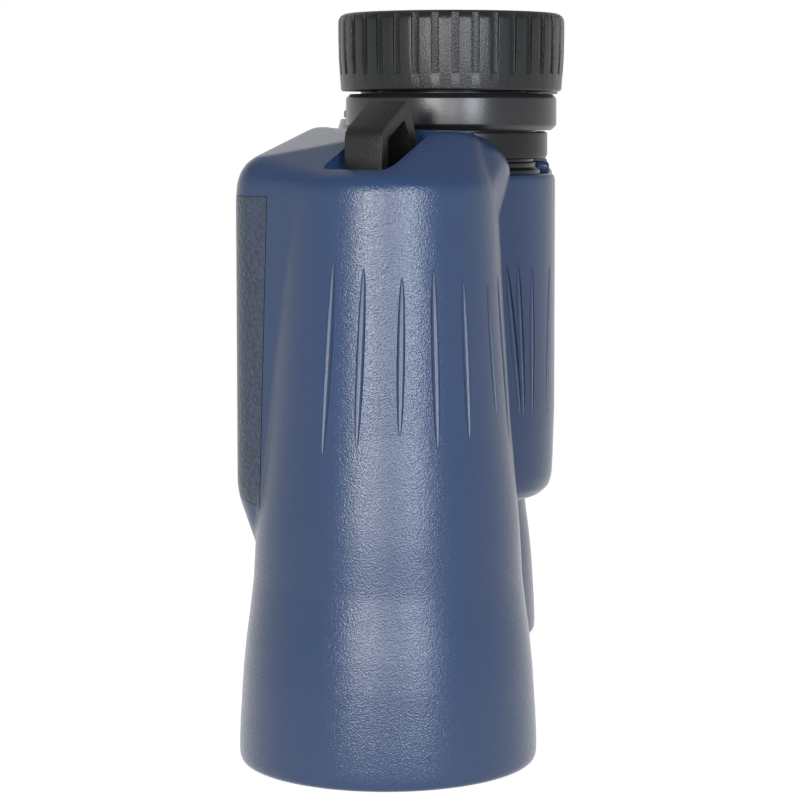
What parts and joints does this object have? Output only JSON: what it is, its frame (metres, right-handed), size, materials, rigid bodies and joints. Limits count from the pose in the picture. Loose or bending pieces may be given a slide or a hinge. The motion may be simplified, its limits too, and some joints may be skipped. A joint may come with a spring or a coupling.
{
  "type": "binoculars",
  "caption": "Rubber-armoured porro-prism marine binoculars with a folding centre hinge, eyepiece focus rings and twist-up eyecups.",
  "frame": {"origin": "centre of the box's base, on the surface that the two objective rims stand on, midway between the halves", "axes": "+Z towards the eyepieces, +X towards the user's left half, +Y towards the thumb side below the eyepieces"},
  "size_m": [0.1918, 0.0668, 0.1506],
  "materials": {
    "armour": "blue moulded rubber with a fine leather grain",
    "grip_panel": "blue-grey rubber with a coarse grain",
    "housing": "black moulded polycarbonate",
    "strap_lug": "black plastic with a sparkled outer face",
    "optics_metal": "black anodised",
    "prism_glass": "polished optical glass",
    "lens_glass": "coated optical glass",
    "clip_steel": "bare spring steel",
    "seal_rubber": "black sealing rubber",
    "guide_metal": "black anodised, satin",
    "focus_ring": "satin black plastic",
    "eyecup_plastic": "black moulded plastic",
    "eyecup_rubber": "soft black rubber, ribbed",
    "hinge_steel": "ground steel",
    "hinge_brass": "bare brass",
    "hinge_cap": "satin black plastic"
  },
  "bodies": {
    "left_half": {"armour_left": "armour", "grip_panel_left": "grip_panel", "housing_left": "housing", "rear_cover_left": "housing", "strap_lug_left": "strap_lug", "prism_shelf_left": "optics_metal", "rear_prism_left": "prism_glass", "front_prism_left": "prism_glass", "rear_prism_clip_left": "clip_steel", "front_prism_clip_left": "clip_steel", "objective_cell_left": "optics_metal", "objective_seal_left": "seal_rubber", "objective_front_lens_left": "lens_glass", "objective_rear_lens_left": "lens_glass", "objective_retainer_left": "optics_metal", "guide_tube_left": "guide_metal", "hinge_collar": "housing", "tripod_bush": "optics_metal"},
    "right_half": {"armour_right": "armour", "grip_panel_right": "grip_panel", "housing_right": "housing", "rear_cover_right": "housing", "strap_lug_right": "strap_lug", "prism_shelf_right": "optics_metal", "rear_prism_right": "prism_glass", "front_prism_right": "prism_glass", "rear_prism_clip_right": "clip_steel", "front_prism_clip_right": "clip_steel", "objective_cell_right": "optics_metal", "objective_seal_right": "seal_rubber", "objective_front_lens_right": "lens_glass", "objective_rear_lens_right": "lens_glass", "objective_retainer_right": "optics_metal", "guide_tube_right": "guide_metal", "hinge_axle": "hinge_steel", "hinge_washer_front": "hinge_brass", "hinge_washer_rear": "hinge_brass", "hinge_cap": "hinge_cap"},
    "left_focus_ring": {"focus_ring_left": "focus_ring"},
    "left_ocular": {"ocular_tube_left": "guide_metal", "field_lens_left": "lens_glass", "eye_lens_left": "lens_glass"},
    "left_eyecup_slide": {"eyecup_sleeve_left": "eyecup_plastic"},
    "left_eyecup": {"eyecup_core_left": "eyecup_plastic", "eyecup_rubber_left": "eyecup_rubber"},
    "right_focus_ring": {"focus_ring_right": "focus_ring"},
    "right_ocular": {"ocular_tube_right": "guide_metal", "field_lens_right": "lens_glass", "eye_lens_right": "lens_glass"},
    "right_eyecup_slide": {"eyecup_sleeve_right": "eyecup_plastic"},
    "right_eyecup": {"eyecup_core_right": "eyecup_plastic", "eyecup_rubber_right": "eyecup_rubber"}
  },
  "joints": [
    {"name": "centre_hinge", "type": "hinge", "parent": "left_half", "child": "right_half", "pos_m": [0, -0.006, 0], "axis": [0, 0, 1], "range_deg": [-27, 31.5]},
    {"name": "left_focus_turn", "type": "hinge", "parent": "left_half", "child": "left_focus_ring", "pos_m": [0.0325, 0.0094, 0.13], "axis": [0, 0, 1], "range_deg": [0, 270]},
    {"name": "left_focus_travel", "type": "slide", "parent": "left_half", "child": "left_ocular", "axis": [0, 0, 1], "range_m": [0, 0.006]},
    {"name": "left_eyecup_rise", "type": "slide", "parent": "left_ocular", "child": "left_eyecup_slide", "axis": [0, 0, 1], "range_m": [0, 0.0081]},
    {"name": "left_eyecup_twist", "type": "hinge", "parent": "left_eyecup_slide", "child": "left_eyecup", "pos_m": [0.0325, 0.0094, 0.14], "axis": [0, 0, 1], "range_deg": [0, 110]},
    {"name": "right_focus_turn", "type": "hinge", "parent": "right_half", "child": "right_focus_ring", "pos_m": [-0.0325, 0.0094, 0.13], "axis": [0, 0, 1], "range_deg": [0, 270]},
    {"name": "right_focus_travel", "type": "slide", "parent": "right_half", "child": "right_ocular", "axis": [0, 0, 1], "range_m": [0, 0.006]},
    {"name": "right_eyecup_rise", "type": "slide", "parent": "right_ocular", "child": "right_eyecup_slide", "axis": [0, 0, 1], "range_m": [0, 0.0081]},
    {"name": "right_eyecup_twist", "type": "hinge", "parent": "right_eyecup_slide", "child": "right_eyecup", "pos_m": [-0.0325, 0.0094, 0.14], "axis": [0, 0, 1], "range_deg": [0, 110]}
  ],
  "couplings": [
    {"joint": "left_focus_turn", "follows": "left_focus_travel", "rad_per_m": 785.39},
    {"joint": "left_eyecup_twist", "follows": "left_eyecup_rise", "rad_per_m": 237},
    {"joint": "right_focus_turn", "follows": "right_focus_travel", "rad_per_m": 785.39},
    {"joint": "right_eyecup_twist", "follows": "right_eyecup_rise", "rad_per_m": 237}
  ]
}
